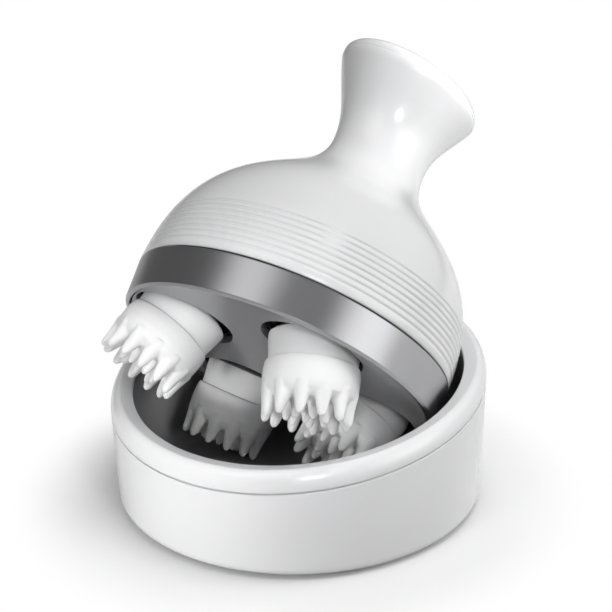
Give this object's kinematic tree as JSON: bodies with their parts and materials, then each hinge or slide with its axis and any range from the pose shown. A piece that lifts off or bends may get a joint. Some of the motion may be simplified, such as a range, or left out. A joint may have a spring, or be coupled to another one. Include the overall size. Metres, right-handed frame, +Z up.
{
  "type": "scalp massager",
  "caption": "Hand-held powered scalp massager with turning claw heads under a white dome and flared finger handle, leaning in a round stand with a dark bowl.",
  "frame": {"origin": "centre of the foot pad's underside, on the surface the stand rests on", "axes": "+Z up, +Y towards the high back of the stand where the massager leans, +X to the right seen from the front"},
  "size_m": [0.116, 0.1391, 0.1336],
  "materials": {
    "white_gloss": "smooth gloss white",
    "satin_silver": "satin silver",
    "grey_underside": "satin grey metallic lacquer",
    "dark_bowl": "smooth dark grey",
    "silicone": "soft white silicone",
    "neck_white": "satin white",
    "black_rubber": "matt black",
    "acetal": "natural moulded",
    "steel": "bright steel",
    "motor_can": "plated can; aluminium stands for the mean density of can, magnets and windings",
    "bronze": "sintered bronze",
    "grey_plastic": "moulded dark grey",
    "board": "green solder mask",
    "battery_wrap": "blue wrapped cell; aluminium stands for the mean density of the cell"
  },
  "bodies": {
    "stand": {"stand_shell": "white_gloss", "stand_rim": "white_gloss", "stand_bowl": "dark_bowl", "foot_pad": "black_rubber"},
    "head_front_left": {"head_shaft_front_left": "steel", "head_gear_front_left": "acetal", "head_neck_front_left": "neck_white", "claw_cup_front_left": "silicone"},
    "head_front_right": {"head_shaft_front_right": "steel", "head_gear_front_right": "acetal", "head_neck_front_right": "neck_white", "claw_cup_front_right": "silicone"},
    "head_back_left": {"head_shaft_back_left": "steel", "head_gear_back_left": "acetal", "head_neck_back_left": "neck_white", "claw_cup_back_left": "silicone"},
    "head_back_right": {"head_shaft_back_right": "steel", "head_gear_back_right": "acetal", "head_neck_back_right": "neck_white", "claw_cup_back_right": "silicone"},
    "drive": {"drive_gear": "acetal", "motor_shaft": "steel"},
    "button": {"power_button": "satin_silver"},
    "massager": {"dome_shell": "white_gloss", "handle_cap": "white_gloss", "trim_ring": "satin_silver", "underside_plate": "grey_underside", "chassis": "grey_plastic", "motor": "motor_can", "battery_cradle": "grey_plastic", "battery": "battery_wrap", "circuit_board": "board", "tact_switch": "grey_plastic", "charge_socket": "grey_plastic", "chassis_screw_1": "steel", "chassis_screw_2": "steel", "chassis_screw_3": "steel", "chassis_screw_4": "steel", "motor_screw_1": "steel", "board_screw_1": "steel", "motor_screw_2": "steel", "board_screw_2": "steel", "shaft_bush_front_left": "bronze", "head_seal_front_left": "black_rubber", "shaft_bush_front_right": "bronze", "head_seal_front_right": "black_rubber", "shaft_bush_back_left": "bronze", "head_seal_back_left": "black_rubber", "shaft_bush_back_right": "bronze", "head_seal_back_right": "black_rubber"}
  },
  "joints": [
    {"name": "lift", "type": "slide", "parent": "stand", "child": "massager", "axis": [0, 0, 1], "range_m": [0, 0.15]},
    {"name": "head_spin_front_left", "type": "hinge", "parent": "massager", "child": "head_front_left", "pos_m": [-0.02295, -0.0266, 0.06177], "axis": [0, 0.7314, 0.682], "continuous": true},
    {"name": "head_spin_front_right", "type": "hinge", "parent": "massager", "child": "head_front_right", "pos_m": [0.02195, -0.0266, 0.06177], "axis": [0, 0.7314, 0.682], "continuous": true},
    {"name": "head_spin_back_left", "type": "hinge", "parent": "massager", "child": "head_back_left", "pos_m": [-0.02295, 0.00402, 0.02893], "axis": [0, 0.7314, 0.682], "continuous": true},
    {"name": "head_spin_back_right", "type": "hinge", "parent": "massager", "child": "head_back_right", "pos_m": [0.02195, 0.00402, 0.02893], "axis": [0, 0.7314, 0.682], "continuous": true},
    {"name": "drive_spin", "type": "hinge", "parent": "massager", "child": "drive", "pos_m": [-0.0005, -0.01129, 0.04535], "axis": [0, 0.7314, 0.682], "continuous": true},
    {"name": "button_press", "type": "slide", "parent": "massager", "child": "button", "axis": [0, -0.7314, -0.682], "range_m": [0, 0.001], "stiffness_N_per_m": 1500}
  ],
  "couplings": [
    {"joint": "head_spin_front_right", "follows": "head_spin_front_left", "ratio": 1},
    {"joint": "head_spin_back_left", "follows": "head_spin_front_left", "ratio": 1},
    {"joint": "head_spin_back_right", "follows": "head_spin_front_left", "ratio": 1},
    {"joint": "drive_spin", "follows": "head_spin_front_left", "ratio": -0.57143}
  ]
}
